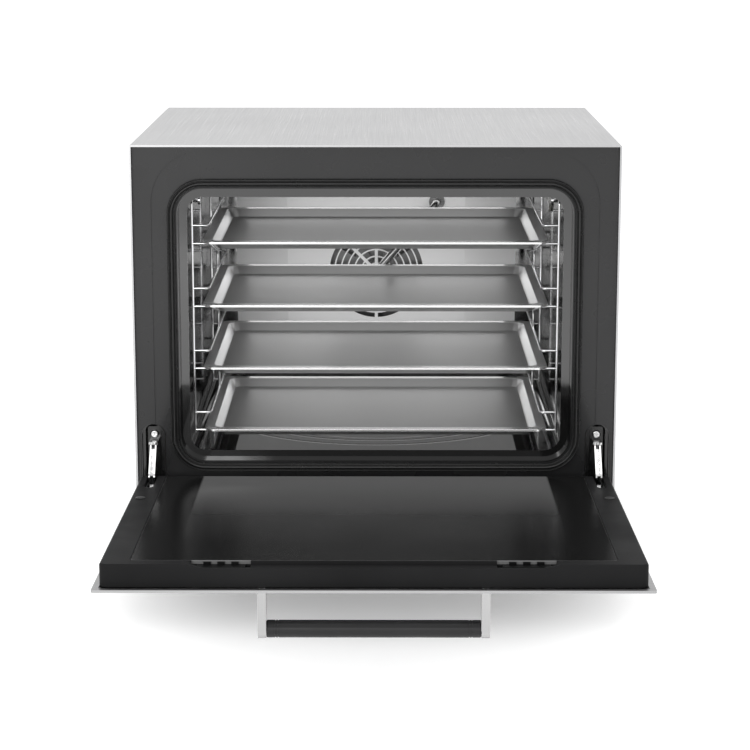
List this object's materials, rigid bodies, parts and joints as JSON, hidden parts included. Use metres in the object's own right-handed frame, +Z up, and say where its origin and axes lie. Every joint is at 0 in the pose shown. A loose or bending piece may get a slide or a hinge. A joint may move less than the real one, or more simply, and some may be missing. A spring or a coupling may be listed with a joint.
{
  "type": "combi steamer oven",
  "caption": "Countertop convection and steam oven with a drop-down glass door, sliding trays on wire racks and a steel casing.",
  "frame": {"origin": "centre of the casing's footprint, on the counter", "axes": "+Z up, +Y to the back of the oven, +X to the user's right; the door opens towards -Y"},
  "size_m": [0.602, 0.9817, 0.537],
  "materials": {
    "casing_steel": "brushed",
    "black_enamel": "gloss",
    "silicone": "satin",
    "polished_steel": "polished",
    "cover_steel": "satin",
    "tray_metal": "satin",
    "bright_wire": "polished",
    "hinge_steel": "polished",
    "screw_steel": "polished",
    "door_glass": "polished",
    "black_plastic": "satin",
    "button_plastic": "gloss",
    "fan_aluminium": "satin",
    "motor_paint": "satin",
    "element_steel": "heat darkened",
    "lamp_glass": "polished",
    "ceramic_white": "satin",
    "switch_plastic": "satin",
    "board_green": "satin",
    "mineral_wool": "fibrous",
    "brass": "satin",
    "hose_rubber": "satin"
  },
  "bodies": {
    "oven": {"base_plate": "casing_steel", "button_switches": "switch_plastic", "cable_gland": "black_plastic", "cavity_liner": "polished_steel", "control_board": "board_green", "control_panel": "casing_steel", "cooling_fan_housing": "black_plastic", "door_gasket": "silicone", "exhaust_pipe": "polished_steel", "fan_cover": "cover_steel", "fan_cover_screws": "screw_steel", "fan_motor": "motor_paint", "feet": "black_plastic", "front_frame": "black_enamel", "heating_element": "element_steel", "hinge_arms": "hinge_steel", "hinge_pins": "hinge_steel", "hinge_pockets": "black_enamel", "hinge_receivers": "hinge_steel", "hinge_screws": "screw_steel", "indicator_lenses": "lamp_glass", "insulation": "mineral_wool", "lamp_bulb": "lamp_glass", "lamp_housing": "ceramic_white", "lamp_lens": "lamp_glass", "outer_casing": "casing_steel", "rack_studs": "bright_wire", "rear_panel": "casing_steel", "rear_screws": "screw_steel", "side_rack_left": "bright_wire", "side_rack_right": "bright_wire", "steam_pipe": "polished_steel", "switch_units": "switch_plastic", "temperature_probe": "polished_steel", "terminal_block": "ceramic_white", "water_line": "hose_rubber", "water_valve": "brass"},
    "door": {"door_inner_frame": "black_enamel", "door_inner_glass": "door_glass", "glass_clips": "black_plastic", "frame_plugs": "black_plastic", "door_outer_panel": "casing_steel", "door_outer_glass": "door_glass", "handle_tube": "polished_steel", "handle_grip": "black_plastic", "handle_screws": "screw_steel", "handle_brackets": "polished_steel", "hinge_channels": "hinge_steel", "hinge_springs": "hinge_steel"},
    "tray_body_1": {"tray_1": "tray_metal"},
    "tray_body_2": {"tray_2": "tray_metal"},
    "tray_body_3": {"tray_3": "tray_metal"},
    "tray_body_4": {"tray_4": "tray_metal"},
    "fan_rotor": {"fan_wheel": "fan_aluminium"},
    "cooler_rotor": {"cooling_fan_wheel": "black_plastic"},
    "temperature_dial": {"temperature_knob": "black_plastic"},
    "timer_dial": {"timer_knob": "black_plastic"},
    "humidity_dial": {"humidity_knob": "black_plastic"},
    "light_push": {"light_button": "button_plastic"},
    "start_push": {"start_button": "button_plastic"}
  },
  "joints": [
    {"name": "door_hinge", "type": "hinge", "parent": "oven", "child": "door", "pos_m": [0, -0.267, 0.107], "axis": [-1, 0, 0], "range_deg": [0, 88]},
    {"name": "tray_1_slide", "type": "slide", "parent": "oven", "child": "tray_body_1", "axis": [0, 1, 0], "range_m": [-0.4, 0]},
    {"name": "tray_2_slide", "type": "slide", "parent": "oven", "child": "tray_body_2", "axis": [0, 1, 0], "range_m": [-0.4, 0]},
    {"name": "tray_3_slide", "type": "slide", "parent": "oven", "child": "tray_body_3", "axis": [0, 1, 0], "range_m": [-0.4, 0]},
    {"name": "tray_4_slide", "type": "slide", "parent": "oven", "child": "tray_body_4", "axis": [0, 1, 0], "range_m": [-0.4, 0]},
    {"name": "fan_spin", "type": "hinge", "parent": "oven", "child": "fan_rotor", "pos_m": [0, 0.16, 0.316], "axis": [0, 1, 0], "continuous": true},
    {"name": "cooler_spin", "type": "hinge", "parent": "oven", "child": "cooler_rotor", "pos_m": [0.145, 0.235, 0.078], "axis": [0, 1, 0], "continuous": true},
    {"name": "temperature_turn", "type": "hinge", "parent": "oven", "child": "temperature_dial", "pos_m": [-0.215, -0.29, 0.055], "axis": [0, 1, 0], "range_deg": [0, 300]},
    {"name": "timer_turn", "type": "hinge", "parent": "oven", "child": "timer_dial", "pos_m": [-0.12, -0.29, 0.055], "axis": [0, 1, 0], "range_deg": [0, 330]},
    {"name": "humidity_turn", "type": "hinge", "parent": "oven", "child": "humidity_dial", "pos_m": [-0.025, -0.29, 0.055], "axis": [0, 1, 0], "range_deg": [0, 270]},
    {"name": "light_press", "type": "slide", "parent": "oven", "child": "light_push", "axis": [0, 1, 0], "range_m": [0, 0.003], "stiffness_N_per_m": 300, "springref_m": -0.002},
    {"name": "start_press", "type": "slide", "parent": "oven", "child": "start_push", "axis": [0, 1, 0], "range_m": [0, 0.003], "stiffness_N_per_m": 300, "springref_m": -0.002}
  ]
}
